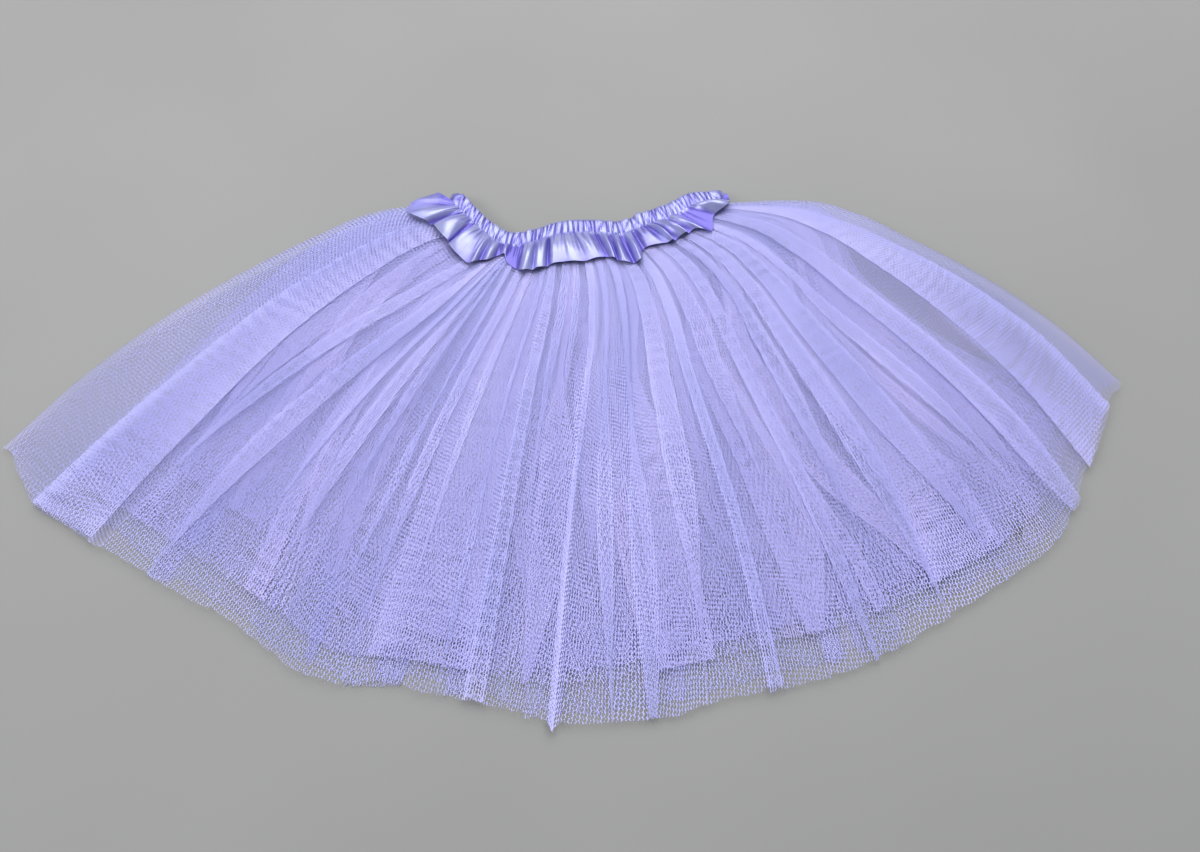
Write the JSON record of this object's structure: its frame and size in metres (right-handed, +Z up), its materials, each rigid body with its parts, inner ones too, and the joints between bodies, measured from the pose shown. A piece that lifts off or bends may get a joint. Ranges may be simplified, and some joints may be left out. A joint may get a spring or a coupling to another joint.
{
  "type": "tulle skirt",
  "caption": "Pull-on tutu skirt laid flat: gathered layers of net fanned out below an elastic satin waistband with a ruffle.",
  "frame": {"origin": "middle of the skirt's box, on the surface that it lies on", "axes": "+X across the skirt to the viewer's right, +Y up the skirt from hem to waist, +Z up from the surface"},
  "size_m": [0.8062, 0.4334, 0.0196],
  "materials": {
    "tulle": "sheer matt polyester net",
    "satin": "glossy polyester satin"
  },
  "bodies": {
    "root": {"tulle_outer": "tulle", "tulle_middle": "tulle", "tulle_inner": "tulle", "waist_casing": "satin", "waist_frill": "satin"}
  },
  "joints": []
}
